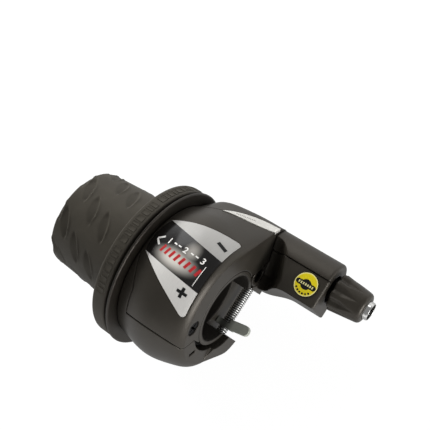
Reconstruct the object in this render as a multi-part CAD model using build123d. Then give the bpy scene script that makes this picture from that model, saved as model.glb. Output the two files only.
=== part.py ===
"""Twist grip shifter with its cable arm and barrel adjuster, in millimetres, one STEP file a piece.

X runs along the handlebar, away from its end. Z is up, through the label. Y points forwards, to the
cable arm. The origin is on the bar's axis, at the housing's inboard face.
"""
from build123d import *
from math import acos, atan2, cos, degrees, hypot, radians, sin
import os

# Fits
RUN_CLEARANCE = 0.06
SEAT_GAP = 0.05
PART_LINE = 0.2
AXIAL_PLAY = 0.3
OVERCUT = 1.0
BEYOND = 60.0

# Sleeve over the handlebar
BAR_R = 11.1
BAR_CLEARANCE = 0.1
SLEEVE_WALL = 1.4
SLEEVE_LENGTH = 56.0

# Housing: each section gives its share of the length from the collar, how far the body lies below
# the belly, how far the shoulder lies below the arm's top, and how far it is lifted above the arm's axis
HOUSING_LENGTH = 22.7
BELLY_R = 24.2
SHOULDER_R = 9.8
HOUSING_WALL = 2.4
LIP_DEPTH = 1.0
LIP_WIDTH = 1.5
CHAMBER_DEPTH = 12.6
END_WALL = 2.1
SECTIONS = [
    (0.00, 1.8, 5.6, 5.3),
    (0.12, 1.1, 2.3, 4.6),
    (0.29, 0.2, 1.2, 3.8),
    (0.49, 0.0, 0.6, 3.0),
    (0.69, 1.0, 0.2, 2.2),
    (0.885, 2.5, 0.1, 1.6),
    (1.00, 5.0, 0.0, 1.5),
]

# Upper cover
NOSE_PLATE = 1.6
COVER_SIDE_Y = -16.3
COVER_STEP_X = 4.2
COVER_STEP_Y = -9.5
COVER_START_Y = 1.0
COVER_FACE_Y = -12.5
COVER_FACE_Z = 8.0
COVER_BAR_Z = 4.0
COVER_HEEL_Y = 19.2
COVER_HEEL_Z = -9.2
SPLIT_END_X = 1.5
SPLIT_END_Y = 6.8
SPLIT_END_Z = 6.0
SPLIT_RISE = 9.0
SPLIT_INSET = 4.5
SPLIT_RUN = 15.5
SPLIT_SLOPE = 44.0
SPLIT_BOW = 3.0
LOBE_R = 3.6
LOBE_DEPTH = 3.0
COVER_SCREWS = [(-9.6, 13.2), (13.9, -9.0)]
COVER_SCREW_R = 1.25
COVER_SCREW_HEAD_R = 2.2
COVER_SCREW_HEAD = 1.5
COVER_SCREW_SINK = 1.8
COVER_SCREW_CROSS = 0.6

# Label and shoulder strip, let into the cover and a little proud of it
INLAY_RAISE = 0.2
INLAY_SEAT = 0.7
LABEL_END_X = 1.6
LABEL_TIP_X = 21.3
LABEL_ROUND_X = 22.1
LABEL_PLUS_Y = -9.2
LABEL_BAND_LOW_Y = 1.4
LABEL_BAND_HIGH_Y = 12.6
LABEL_MINUS_Y = 17.3
LABEL_BOW = 1.3
LABEL_CORNER_R = 1.0
STRIP_LENGTH = 20.2
STRIP_WIDTH = 4.3
STRIP_MARGIN = 0.3
STRIP_END_WIDTH = 2.0

# Cable arm
ARM_INSET = 2.1
ARM_Z = -9.0
ARM_R = 8.1
ARM_LENGTH = 21.8
ARM_HALF_WIDTH = 7.6
ARM_FLOOR = 8.7
ARM_EDGE_R = 0.8
NECK_FLOOR = 11.4
NECK_LENGTH = 0.5
NECK_RAMP = 12.0
NECK_COVER = 0.4
NECK_BED = 4.0
NECK_SLANT = 43.0
NECK_HOLLOW_START = 0.8
NECK_HOLLOW_END = 10.8
NECK_HOLLOW_LEAN = 5.0
CAP_LIFT = 0.6
CABLE_WAY_R = 1.4
STICKER_SETBACK = 5.6
STICKER_DROP = 3.6
STICKER_R = 3.7
STICKER_T = 0.3

# Handlebar clamp
CLAMP_LENGTH = 6.0
CLAMP_GAP_LOW = -7.0
CLAMP_GAP_HIGH = 9.6
CLAMP_GAP_TOP = -7.6
SLOT_WIDTH = 1.9
HUB_WALL = 0.9
BAND_T = 0.8
BAND_WIDTH = 3.8
BAND_TUCK = 0.4
CLAMP_SCREW_X = -3.1
CLAMP_SCREW_Z = -16.3
CLAMP_SCREW_R = 1.75
CLAMP_SCREW_HOLE = 0.25
CLAMP_SCREW_END = 15.2
CLAMP_HEAD_R = 3.0
CLAMP_HEAD = 3.2
CLAMP_HEAD_ROOM = 0.3
CLAMP_HEX = 3.0
JAW_SEAT = 2.0
JAW_R = 21.4
JAW_ARC_R = 35.0
JAW_ROOT_TURN = 163.402
JAW_OUT = 1.4
JAW_TIP = 2.5
JAW_BOSS_R = 4.5
NUT_BOSS_LENGTH = 5.0
HEAD_BOSS_LENGTH = 3.2
PLATE_LOW = -5.2
PLATE_T = 2.0
PLATE_LENGTH = 7.0
PLATE_WIDTH = 3.3
PLATE_TURN = 10.0
PLATE_END_R = 1.5
PLATE_LEG_WIDTH = 5.0
PLATE_LAP = 0.6
PLATE_LEG_LENGTH = 5.6
PLATE_WALL = 0.8
NUT_WIDTH = 5.6
NUT_T = 3.2
NUT_START = 11.2
NUT_ROOM = 0.1

# Slot for prying the cover off, in the bracket's inboard face
PRY_SLOT_Y = -16.2
PRY_SLOT_Z = 3.6
PRY_SLOT_LENGTH = 2.8
PRY_SLOT_WIDTH = 1.3
PRY_SLOT_DEPTH = 2.0
PRY_SLOT_TURN = -42.0

# Grip
BARREL_WALL = 1.6
COLLAR_GAP = 0.35
FLANGE_OUT = 3.9
FLANGE_T = 1.75
FLANGE_GROOVE = 0.9
FLANGE_GROOVE_DEPTH = 1.8
FLANGE_EDGE = 0.3
RING_STEP = 0.3
RING_WIDTH = 4.8
RING_EDGE = 0.7
GRIP_ROOT_R = 18.1
GRIP_END_R = 16.5
GRIP_OVERHANG = 0.9
GRIP_EDGE = 0.6
BARREL_SETBACK = 1.6
TREAD_ROWS = [(-0.8, 0.1), (3.7, 0.4), (10.2, 0.8), (16.9, 0.0)]
TREAD_COUNT = 8
TREAD_LENGTH = 11.0
TREAD_WIDTH = 3.4
TREAD_SLANT = 111.0
TREAD_DEPTH = 0.7
RETAINER_GROOVE = 0.6
RETAINER_R = 13.8
RETAINER_T = 0.8
RETAINER_SETBACK = 0.5
RETAINER_OPEN = 3.0

# Cable drum and its friction stack
DRUM_R = 15.8
DRUM_GROOVE_DEPTH = 1.6
DRUM_GROOVE_WIDTH = 1.8
DOG_COUNT = 3
DOG_HEIGHT = 1.8
DOG_WIDTH = 4.0
ANCHOR_R = 1.1
ANCHOR_DEPTH = 5.0
FRICTION_R = 17.0
FRICTION_T = 1.6
SPRING_R = 16.6
SPRING_HEIGHT = 1.2
SPRING_T = 0.5
WASHER_T = 1.0
GUIDE_R = 1.9
GUIDE_BORE_R = 1.1
GUIDE_BEND_R = 8.0

# Barrel adjuster
CABLE_HOLE_R = 1.0
BUSH_R = 4.6
BUSH_LENGTH = 8.4
BUSH_RECESS = 1.6
STEM_R = 3.0
STEM_SETBACK = 1.0
STEM_IN_KNOB = 3.4
KNOB_GAP = 1.2
KNOB_LENGTH = 10.4
KNOB_R = 6.1
KNOB_TIP_R = 4.8
KNOB_EDGE = 0.6
FLUTE_COUNT = 9
FLUTE_R = 2.0
FLUTE_DEPTH = 0.8
FLUTE_END = 1.6
FERRULE_R = 2.9
FERRULE_OUT = 1.5
FERRULE_EDGE = 0.4
SOCKET_R = 2.55
SOCKET_DEPTH = 5.0
FERRULE_GAP = 0.3

# Places that follow from the sizes above
BORE_R = BAR_R + BAR_CLEARANCE
SLEEVE_R = BORE_R + SLEEVE_WALL
TURN_R = SLEEVE_R + RUN_CLEARANCE
BARREL_R = TURN_R + BARREL_WALL
SLOT_R = SLEEVE_R + SLOT_WIDTH
HUB_R = SLOT_R + HUB_WALL
COLLAR_X = -HOUSING_LENGTH
COLLAR_R = BELLY_R - SECTIONS[0][1]
CHAMBER_R = COLLAR_R - HOUSING_WALL
LIP_R = CHAMBER_R - LIP_DEPTH
CHAMBER_END = COLLAR_X + CHAMBER_DEPTH
ARM_Y = BELLY_R - ARM_INSET
ARM_TOP = ARM_Y + ARM_R
PANEL_Z = ARM_Z + ARM_HALF_WIDTH
CAP_Y = ARM_Y + CAP_LIFT
WASHER_X = CHAMBER_END - WASHER_T
SPRING_X = WASHER_X - SPRING_HEIGHT
FRICTION_X = SPRING_X - FRICTION_T
DRUM_END = FRICTION_X - AXIAL_PLAY
FLANGE_X = COLLAR_X - COLLAR_GAP
RING_X = FLANGE_X - FLANGE_T
FLANGE_R = COLLAR_R + FLANGE_OUT
RING_R = FLANGE_R - RING_STEP
GRIP_ROOT_X = RING_X - RING_WIDTH
GRIP_END_X = -SLEEVE_LENGTH - GRIP_OVERHANG
BARREL_END_X = -SLEEVE_LENGTH + BARREL_SETBACK
GROOVE_X = (FLANGE_X + DRUM_END) / 2
GROOVE_R = DRUM_R - DRUM_GROOVE_DEPTH
BUSH_END = ARM_LENGTH - BUSH_RECESS
BUSH_X = BUSH_END - BUSH_LENGTH
KNOB_X = ARM_LENGTH + KNOB_GAP
KNOB_END = KNOB_X + KNOB_LENGTH
STEM_END = KNOB_X + STEM_IN_KNOB
FERRULE_X = STEM_END + FERRULE_GAP
FERRULE_END = KNOB_END + FERRULE_OUT


def rod(start, end, radius, y=0.0, z=0.0):
    """Round bar along X."""
    return Pos((start + end) / 2, y, z) * Rot(0, 90, 0) * Cylinder(radius, end - start)


def tube(start, end, inner, outer, y=0.0, z=0.0):
    """Round tube along X."""
    return rod(start, end, outer, y, z) - rod(start, end, inner, y, z)


def cross_rod(low, high, radius, x, z):
    """Round bar along Y."""
    return Pos(x, (low + high) / 2, z) * Rot(90, 0, 0) * Cylinder(radius, high - low)


def block(x, y, z):
    """Box between two limits on each axis."""
    size = Box(x[1] - x[0], y[1] - y[0], z[1] - z[0])
    return Pos((x[0] + x[1]) / 2, (y[0] + y[1]) / 2, (z[0] + z[1]) / 2) * size


def turned(*points):
    """Solid turned about the bar's axis from a closed outline of x and radius."""
    return revolve(make_face(Polyline(*points, close=True)), Axis.X)


def turned_on_arm(*points):
    """Solid turned about the arm's axis from a closed outline of x and radius."""
    return Pos(0, ARM_Y, ARM_Z) * turned(*points)


def on_wheel(radius, angle):
    """Point in the YZ plane at an angle from Y towards Z."""
    return radius * cos(angle), radius * sin(angle)


def housing_section(share, body_drop, shoulder_drop, lift, inset):
    """Outline round the body and the shoulder: two arcs joined by their common tangents."""
    x = COLLAR_X + share * HOUSING_LENGTH
    y = ARM_TOP - shoulder_drop - SHOULDER_R
    z = ARM_Z + lift
    body_r = BELLY_R - body_drop - inset
    shoulder_r = SHOULDER_R - inset
    lean = atan2(z, y)
    spread = acos((body_r - shoulder_r) / hypot(y, z))

    def body(angle):
        by, bz = on_wheel(body_r, angle)
        return (x, by, bz)

    def shoulder(angle):
        sy, sz = on_wheel(shoulder_r, angle)
        return (x, y + sy, z + sz)

    top, bottom = lean + spread, lean - spread
    outline = [
        ThreePointArc(body(top), body(lean + radians(180)), body(bottom)),
        Line(body(bottom), shoulder(bottom)),
        ThreePointArc(shoulder(bottom), shoulder(lean), shoulder(top)),
        Line(shoulder(top), body(top)),
    ]
    return Face(Wire(outline))


def housing_form(inset=0.0):
    """Smooth outer form of body and shoulder, taken in by an even inset."""
    return Part() + loft([housing_section(*row, inset) for row in SECTIONS])


def arm_form():
    """Arm with a round top, flat sides and a floor that sweeps down into the neck."""
    floor_y = ARM_Y - ARM_FLOOR
    neck_y = ARM_Y - NECK_FLOOR
    side = [
        Line((-END_WALL, neck_y), (NECK_LENGTH, neck_y)),
        Spline((NECK_LENGTH, neck_y), (NECK_LENGTH + NECK_RAMP, floor_y), tangents=((1, 0), (1, 0))),
        Line((NECK_LENGTH + NECK_RAMP, floor_y), (ARM_LENGTH, floor_y)),
        Line((ARM_LENGTH, floor_y), (ARM_LENGTH, CAP_Y)),
        Line((ARM_LENGTH, CAP_Y), (-END_WALL, CAP_Y)),
        Line((-END_WALL, CAP_Y), (-END_WALL, neck_y)),
    ]
    low = Pos(0, 0, ARM_Z) * extrude(make_face(side), ARM_HALF_WIDTH, both=True)
    above = block((-BEYOND, BEYOND), (CAP_Y, BEYOND), (-BEYOND, BEYOND))
    arm = low + (rod(-END_WALL, ARM_LENGTH, ARM_R, ARM_Y, ARM_Z) & above)
    rim = arm.faces().sort_by(Axis.X)[-1].edges()
    arm = fillet(rim, ARM_EDGE_R)
    return arm - neck_hollow()


def neck_section(y, floor, end):
    """Outline of the neck's hollow at one place across it: flat, then a soft rise to the arm's side."""
    top = ARM_Z + ARM_R
    middle = (NECK_HOLLOW_START + end) / 2
    outline = [
        Line((-END_WALL, floor), (NECK_HOLLOW_START, floor)),
        Bezier((NECK_HOLLOW_START, floor), (middle, floor), (middle, top), (end, top)),
        Line((end, top), (end, BEYOND)),
        Line((end, BEYOND), (-END_WALL, BEYOND)),
        Line((-END_WALL, BEYOND), (-END_WALL, floor)),
    ]
    return Plane(origin=(0, y, 0), x_dir=(1, 0, 0), z_dir=(0, -1, 0)) * make_face(outline)


def neck_hollow():
    """Hollow beside the cover's edge, slanted over the cable's way, that runs out softly on the arm."""
    bed = ARM_Z - ARM_HALF_WIDTH + NECK_BED
    top = ARM_Z + ARM_R
    slant = radians(NECK_SLANT)

    def across(z):
        return ARM_Y + ((z - ARM_Z) * cos(slant) - CABLE_WAY_R - NECK_COVER) / sin(slant)

    return Part() + loft([
        neck_section(ARM_Y - NECK_FLOOR - OVERCUT, bed, NECK_HOLLOW_END),
        neck_section(across(bed), bed, NECK_HOLLOW_END),
        neck_section(across(top), top, NECK_HOLLOW_END - NECK_HOLLOW_LEAN),
    ], ruled=True)


def cover_region(grow=0.0):
    """Space on the label side that belongs to the cover, up to its parting faces."""
    step = COLLAR_X + COVER_STEP_X
    plan = make_face(Polyline(
        (COLLAR_X - BEYOND, COVER_START_Y),
        (COLLAR_X, COVER_START_Y),
        (step, COVER_STEP_Y),
        (step, COVER_SIDE_Y),
        (0, COVER_SIDE_Y),
        (0, BEYOND),
        (COLLAR_X - BEYOND, BEYOND),
        close=True,
    ))
    front = make_face(Polyline(
        (0, 0),
        (COVER_FACE_Y, COVER_BAR_Z),
        (COVER_FACE_Y, COVER_FACE_Z),
        (COVER_SIDE_Y, COVER_FACE_Z + COVER_FACE_Y - COVER_SIDE_Y),
        (COVER_SIDE_Y - BEYOND, COVER_FACE_Z + BEYOND),
        (BEYOND, BEYOND),
        (BEYOND, COVER_HEEL_Z),
        (COVER_HEEL_Y, COVER_HEEL_Z),
        (SLEEVE_R, -COVER_BAR_Z),
        close=True,
    ))
    plan = offset(plan, grow, kind=Kind.INTERSECTION) if grow else plan
    front = offset(front, grow, kind=Kind.INTERSECTION) if grow else front
    over = Pos(0, 0, -BEYOND) * extrude(plan, 2 * BEYOND)
    ahead = Pos(-BEYOND, 0, 0) * extrude(Plane.YZ * front, 2 * BEYOND)
    return over & ahead & shoulder_side(grow)


def split_ends():
    """Two ends of the parting line along the shoulder."""
    inner = Vector(SPLIT_END_X, ARM_Y + SPLIT_END_Y, ARM_Z + SPLIT_END_Z)
    outer = inner + Vector(-SPLIT_RUN, -SPLIT_INSET, SPLIT_RISE)
    return outer, inner


def split_sheet():
    """Plane along the shoulder's parting line, with its second axis pointing to the cover's side."""
    outer, inner = split_ends()
    along = inner - outer
    down = Vector(0, -cos(radians(SPLIT_SLOPE)), -sin(radians(SPLIT_SLOPE)))
    return Plane(origin=inner, x_dir=along, z_dir=along.cross(down.cross(along)))


def split_line():
    """Bowed parting line over the strip's length, in the split sheet."""
    return ThreePointArc((-STRIP_LENGTH, 0), (-STRIP_LENGTH / 2, -SPLIT_BOW), (0, 0))


def shoulder_side(grow):
    """Space on the cover's side of the shoulder's parting line."""
    outline = make_face([
        split_line(),
        Polyline((0, 0), (BEYOND, 0), (BEYOND, BEYOND), (-BEYOND, BEYOND), (-BEYOND, 0),
                 (-STRIP_LENGTH, 0)),
    ])
    outline = offset(outline, grow, kind=Kind.INTERSECTION) if grow else outline
    return extrude(split_sheet() * outline, BEYOND, both=True)


def cover_void():
    """Space inside the cover for the drum, the end wall and the hub."""
    wall_end = CHAMBER_END + END_WALL + PART_LINE
    hub_end = -NOSE_PLATE
    return turned(
        (COLLAR_X - OVERCUT, 0),
        (COLLAR_X - OVERCUT, LIP_R),
        (COLLAR_X + LIP_WIDTH, LIP_R),
        (COLLAR_X + LIP_WIDTH, CHAMBER_R),
        (wall_end, CHAMBER_R),
        (wall_end, HUB_R + PART_LINE),
        (hub_end, HUB_R + PART_LINE),
        (hub_end, SLEEVE_R + PART_LINE),
        (BEYOND, SLEEVE_R + PART_LINE),
        (BEYOND, 0),
    )


def chamber():
    """Space inside the base for the drum and the friction stack."""
    return turned(
        (COLLAR_X - OVERCUT, 0),
        (COLLAR_X - OVERCUT, LIP_R),
        (COLLAR_X + LIP_WIDTH, LIP_R),
        (COLLAR_X + LIP_WIDTH, CHAMBER_R),
        (CHAMBER_END, CHAMBER_R),
        (CHAMBER_END, 0),
    )


def label_region():
    """Space over the label's outline: a round outboard end, and two points at the inboard end."""
    mid_x = -(LABEL_TIP_X + LABEL_END_X) / 2
    band_y = (LABEL_BAND_LOW_Y + LABEL_BAND_HIGH_Y) / 2
    outline = make_face([
        ThreePointArc((-LABEL_TIP_X, LABEL_BAND_LOW_Y), (-LABEL_ROUND_X, band_y),
                      (-LABEL_TIP_X, LABEL_BAND_HIGH_Y)),
        ThreePointArc((-LABEL_TIP_X, LABEL_BAND_HIGH_Y),
                      (mid_x, (LABEL_BAND_HIGH_Y + LABEL_MINUS_Y) / 2 + LABEL_BOW),
                      (-LABEL_END_X, LABEL_MINUS_Y)),
        Line((-LABEL_END_X, LABEL_MINUS_Y), (-LABEL_END_X, LABEL_PLUS_Y)),
        Line((-LABEL_END_X, LABEL_PLUS_Y), (-LABEL_TIP_X, LABEL_BAND_LOW_Y)),
    ])
    points = outline.vertices().sort_by(Axis.X)[-2:]
    outline = fillet(points, LABEL_CORNER_R)
    return extrude(outline, BEYOND)


def strip_region():
    """Space over the shoulder strip: a bow along the parting line, pointed at its outboard end."""
    far = STRIP_MARGIN + STRIP_END_WIDTH
    outline = make_face([
        Pos(0, STRIP_MARGIN) * split_line(),
        Line((0, STRIP_MARGIN), (0, far)),
        ThreePointArc((0, far), (-STRIP_LENGTH / 2, STRIP_MARGIN + STRIP_WIDTH - SPLIT_BOW),
                      (-STRIP_LENGTH, STRIP_MARGIN)),
    ])
    return extrude(split_sheet() * outline, SHOULDER_R, both=True)


def guide_path():
    """Cable's bend from the drum's tangent to the arm's axis."""
    reach = hypot(ARM_Y, ARM_Z)
    leave = atan2(ARM_Z, ARM_Y) + acos(GROOVE_R / reach)
    leave_y, leave_z = on_wheel(GROOVE_R, leave)
    heading = Vector(0, ARM_Y - leave_y, ARM_Z - leave_z).normalized()
    end = Vector(GROOVE_X + GUIDE_BEND_R, ARM_Y, ARM_Z)
    start = Vector(GROOVE_X, ARM_Y, ARM_Z) - heading * GUIDE_BEND_R
    return TangentArc(start, end, tangent=heading)


def along_path(path, radius):
    """Round bar along a path."""
    return sweep(Plane(origin=path @ 0, z_dir=path % 0) * Circle(radius), path)


def cable_way():
    """Way for the cable from the bent guide to the adjuster's bush."""
    return rod(GROOVE_X + GUIDE_BEND_R, BUSH_X, CABLE_WAY_R, ARM_Y, ARM_Z)


def bush_pocket():
    return rod(BUSH_X, ARM_LENGTH + OVERCUT, BUSH_R + SEAT_GAP, ARM_Y, ARM_Z)


def cover_lobe(grow=0.0):
    """Round lobe of the cover's nose plate, over the screw beside the arm."""
    y, z = COVER_SCREWS[1]
    return rod(-LOBE_DEPTH - grow, 0, LOBE_R + grow, y, z)


def arm_cap_region(grow=0.0):
    return block((-grow, BEYOND), (CAP_Y - grow, BEYOND), (-BEYOND, BEYOND))


def jaw_boss(face, reach):
    """Boss with a domed end round the clamp screw, on one jaw's face."""
    end = face + reach
    boss = cross_rod(min(face, end), max(face, end), JAW_BOSS_R, CLAMP_SCREW_X, CLAMP_SCREW_Z)
    boss += Pos(CLAMP_SCREW_X, end, CLAMP_SCREW_Z) * Sphere(JAW_BOSS_R)
    return boss & block((-BEYOND, 0), (-BEYOND, BEYOND), (-BEYOND, BEYOND))


def lower_jaw():
    """Full-width end of the lower jaw, whose tip swells softly out of the housing's inboard face."""
    end_r = BELLY_R - SECTIONS[-1][1]
    root_y, root_z = on_wheel(end_r, -radians(JAW_ROOT_TURN))
    tip = CLAMP_GAP_LOW - JAW_TIP
    middle = (root_y + tip) / 2
    sides = Polyline(
        (0, root_y),
        (-CLAMP_LENGTH, root_y),
        (-CLAMP_LENGTH, CLAMP_GAP_LOW),
        (JAW_OUT, CLAMP_GAP_LOW),
        (JAW_OUT, tip),
    )
    swell = Bezier((JAW_OUT, tip), (JAW_OUT, middle), (0, middle), (0, root_y))
    plan = make_face(sides + swell)
    below = Pos(0, 0, CLAMP_GAP_TOP - BEYOND) * extrude(plan, BEYOND)
    # The jaw's wider arc touches the housing's end outline at the root
    shift = 1 - JAW_ARC_R / end_r
    inside_arc = rod(-CLAMP_LENGTH, JAW_OUT, JAW_ARC_R, shift * root_y, shift * root_z)
    return tube(-CLAMP_LENGTH, JAW_OUT, SLOT_R, JAW_R) & inside_arc & below


def pry_slot():
    """Small slanted slot in the bracket's inboard face."""
    slot = Box(2 * PRY_SLOT_DEPTH, PRY_SLOT_LENGTH, PRY_SLOT_WIDTH)
    return Pos(0, PRY_SLOT_Y, PRY_SLOT_Z) * Rot(PRY_SLOT_TURN, 0, 0) * slot


def make_base_bracket(form, arm):
    """Bracket: sleeve, collar, clamp jaws, neck and the arm's lower half."""
    screw_at = (CLAMP_SCREW_X, CLAMP_SCREW_Z)
    shell = form + arm
    shell += jaw_boss(CLAMP_GAP_HIGH, NUT_BOSS_LENGTH) + jaw_boss(CLAMP_GAP_LOW, -HEAD_BOSS_LENGTH)
    shell += lower_jaw()
    shell -= cover_region(PART_LINE)
    shell -= cover_lobe(PART_LINE)
    shell -= arm_cap_region()
    shell += rod(CHAMBER_END, CHAMBER_END + END_WALL, CHAMBER_R - PART_LINE)
    shell += rod(CHAMBER_END, -NOSE_PLATE - PART_LINE, HUB_R)
    shell -= chamber()
    shell += rod(-SLEEVE_LENGTH, 0, SLEEVE_R)
    shell -= rod(-SLEEVE_LENGTH - OVERCUT, BEYOND, BORE_R)
    shell -= tube(-CLAMP_LENGTH, 0, SLEEVE_R, SLOT_R)
    shell -= block((-CLAMP_LENGTH, BEYOND), (CLAMP_GAP_LOW, CLAMP_GAP_HIGH), (-BEYOND, CLAMP_GAP_TOP))
    shell -= along_path(guide_path(), GUIDE_R + SEAT_GAP)
    shell -= cable_way()
    shell -= bush_pocket()
    hole_r = CLAMP_SCREW_R + CLAMP_SCREW_HOLE
    head_seat = CLAMP_GAP_LOW - JAW_SEAT
    shell -= cross_rod(CLAMP_GAP_LOW - BELLY_R, CLAMP_SCREW_END + CLAMP_HEAD_ROOM, hole_r, *screw_at)
    shell -= cross_rod(head_seat - BELLY_R, head_seat, CLAMP_HEAD_R + CLAMP_HEAD_ROOM, *screw_at)
    shell -= nut_body(NUT_ROOM, BELLY_R)
    shell -= pry_slot()
    for y, z in COVER_SCREWS:
        shell -= rod(CHAMBER_END, 0, COVER_SCREW_R + SEAT_GAP, y, z)
    groove_r = SLEEVE_R - RETAINER_GROOVE
    groove_x = -SLEEVE_LENGTH + RETAINER_SETBACK
    shell -= tube(groove_x, groove_x + RETAINER_T + SEAT_GAP, groove_r, SLEEVE_R + OVERCUT)
    return shell


def make_upper_cover(form):
    """Cover over the drum, with a nose plate round the bar and a lobe for its second screw."""
    cover = form & cover_region()
    cover += cover_lobe() & form
    cover -= cover_void()
    cover -= along_path(guide_path(), GUIDE_R + SEAT_GAP)
    cover -= cable_way()
    cover -= (label_region() + strip_region()) - housing_form(INLAY_SEAT)
    for y, z in COVER_SCREWS:
        cover -= rod(-HOUSING_LENGTH, 0, COVER_SCREW_R + PART_LINE, y, z)
        cover -= rod(-COVER_SCREW_SINK, OVERCUT, COVER_SCREW_HEAD_R + PART_LINE, y, z)
    return cover


def make_inlay(region):
    """Thin plate that follows the housing's surface, a little proud of it."""
    return (housing_form(-INLAY_RAISE) & region) - housing_form(INLAY_SEAT)


def make_arm_cap(arm):
    """Upper half of the arm, above its parting line."""
    cap = arm & arm_cap_region(-PART_LINE)
    return cap - cable_way() - bush_pocket()


def make_round_sticker():
    at = Pos(ARM_LENGTH - STICKER_SETBACK, ARM_Y - STICKER_DROP, PANEL_Z + STICKER_T / 2)
    return at * Cylinder(STICKER_R, STICKER_T)


def make_clamp_band():
    """Band round the sleeve, from one jaw over the top to the other."""
    middle = (SLEEVE_R + SLOT_R) / 2
    band_end = -NOSE_PLATE - BAND_TUCK
    band = tube(band_end - BAND_WIDTH, band_end, middle - BAND_T / 2, middle + BAND_T / 2)
    opening = (CLAMP_GAP_LOW, CLAMP_GAP_HIGH)
    return band - block((-BEYOND, BEYOND), opening, (-BEYOND, 0))


def make_clamp_plate():
    """Bent steel plate on the clamp screw, with a tongue that stands out past the housing."""
    top = CLAMP_SCREW_Z + CLAMP_SCREW_R + PLATE_WALL
    end = CLAMP_SCREW_X + PLATE_LEG_WIDTH / 2
    leg = block((end - PLATE_LEG_WIDTH, end), (PLATE_LOW, PLATE_LOW + PLATE_T),
                (top - PLATE_LEG_LENGTH, top))
    sheet = Pos(PLATE_LENGTH / 2, PLATE_WIDTH / 2) * Rectangle(PLATE_LENGTH, PLATE_WIDTH)
    sheet = fillet(sheet.vertices().sort_by(Axis.X)[-2:], PLATE_END_R)
    at = Pos(end - PLATE_LAP, PLATE_LOW, top - PLATE_T)
    tongue = at * Rot(0, 0, PLATE_TURN) * extrude(sheet, PLATE_T)
    return leg + tongue - cross_rod(-BEYOND, BEYOND, CLAMP_SCREW_R + SEAT_GAP, CLAMP_SCREW_X, CLAMP_SCREW_Z)


def make_clamp_screw():
    """Clamp screw with a round head and a hexagon socket."""
    head_top = CLAMP_GAP_LOW - JAW_SEAT
    head_low = head_top - CLAMP_HEAD
    at = (CLAMP_SCREW_X, CLAMP_SCREW_Z)
    screw = cross_rod(head_low, head_top, CLAMP_HEAD_R, *at)
    screw += cross_rod(head_top, CLAMP_SCREW_END, CLAMP_SCREW_R, *at)
    mouth = Plane(origin=(at[0], head_low, at[1]), z_dir=(0, 1, 0))
    socket = extrude(mouth * RegularPolygon(CLAMP_HEX / 2, 6, major_radius=False), CLAMP_HEAD / 2)
    return screw - socket


def nut_body(room=0.0, way_in=0.0):
    """Square nut, or with a way in, the pocket that it slides into from below."""
    half = NUT_WIDTH / 2 + room
    return block((CLAMP_SCREW_X - half, CLAMP_SCREW_X + half), (NUT_START - room, NUT_START + NUT_T + room),
                 (CLAMP_SCREW_Z - half - way_in, CLAMP_SCREW_Z + half))


def make_clamp_nut():
    return nut_body() - cross_rod(-BEYOND, BEYOND, CLAMP_SCREW_R + SEAT_GAP, CLAMP_SCREW_X, CLAMP_SCREW_Z)


def make_cover_screws():
    """Two cross-head screws along X."""
    screws = Part()
    seat = -COVER_SCREW_SINK
    slot = (seat + COVER_SCREW_HEAD / 3, BEYOND)
    for y, z in COVER_SCREWS:
        screw = rod(seat, seat + COVER_SCREW_HEAD, COVER_SCREW_HEAD_R, y, z)
        screw += rod(CHAMBER_END + AXIAL_PLAY, seat, COVER_SCREW_R, y, z)
        arm, half = COVER_SCREW_HEAD_R - COVER_SCREW_CROSS, COVER_SCREW_CROSS / 2
        screw -= block(slot, (y - arm, y + arm), (z - half, z + half))
        screw -= block(slot, (y - half, y + half), (z - arm, z + arm))
        screws += screw
    return screws


def make_cable_guide():
    path = guide_path()
    return along_path(path, GUIDE_R) - along_path(path, GUIDE_BORE_R)


def make_friction_disc():
    return tube(FRICTION_X, SPRING_X, SLEEVE_R + SEAT_GAP, FRICTION_R)


def make_disc_spring():
    """Dished spring between the friction disc and the washer."""
    inner = SLEEVE_R + SEAT_GAP
    return turned(
        (SPRING_X, inner),
        (SPRING_X + SPRING_T, inner),
        (WASHER_X, SPRING_R),
        (WASHER_X - SPRING_T, SPRING_R),
    )


def make_thrust_washer():
    return tube(WASHER_X, CHAMBER_END, SLEEVE_R + SEAT_GAP, FRICTION_R)


def make_retaining_ring():
    """Open snap ring in the sleeve's groove, outboard of the barrel."""
    start = -SLEEVE_LENGTH + RETAINER_SETBACK
    inner = SLEEVE_R - RETAINER_GROOVE + SEAT_GAP
    ring = tube(start, start + RETAINER_T, inner, RETAINER_R)
    half = RETAINER_OPEN / 2
    return ring - block((-BEYOND, 0), (-half, half), (-BEYOND, 0))


def drum_dogs(grow=0.0):
    """Dogs on the drum's face that drive it from the barrel's flange."""
    dogs = Part()
    low = TURN_R + DOG_HEIGHT / 2 - grow
    high = TURN_R + DOG_HEIGHT * 3 / 2 + grow
    half = DOG_WIDTH / 2 + grow
    dog = block((RING_X, FLANGE_X), (-half, half), (low, high))
    for k in range(DOG_COUNT):
        dogs += Rot(360 * k / DOG_COUNT, 0, 0) * dog
    return dogs


def make_grip_barrel():
    """Barrel that turns on the sleeve, with a lipped flange behind the rubber ring."""
    lip_x = RING_X + FLANGE_GROOVE
    neck_r = FLANGE_R - FLANGE_GROOVE_DEPTH
    barrel = turned(
        (BARREL_END_X, TURN_R),
        (BARREL_END_X, BARREL_R),
        (RING_X, BARREL_R),
        (RING_X, neck_r),
        (lip_x, neck_r),
        (lip_x, FLANGE_R - FLANGE_EDGE),
        (lip_x + FLANGE_EDGE, FLANGE_R),
        (FLANGE_X - FLANGE_EDGE, FLANGE_R),
        (FLANGE_X, FLANGE_R - FLANGE_EDGE),
        (FLANGE_X, TURN_R),
    )
    return barrel - drum_dogs(SEAT_GAP)


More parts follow.
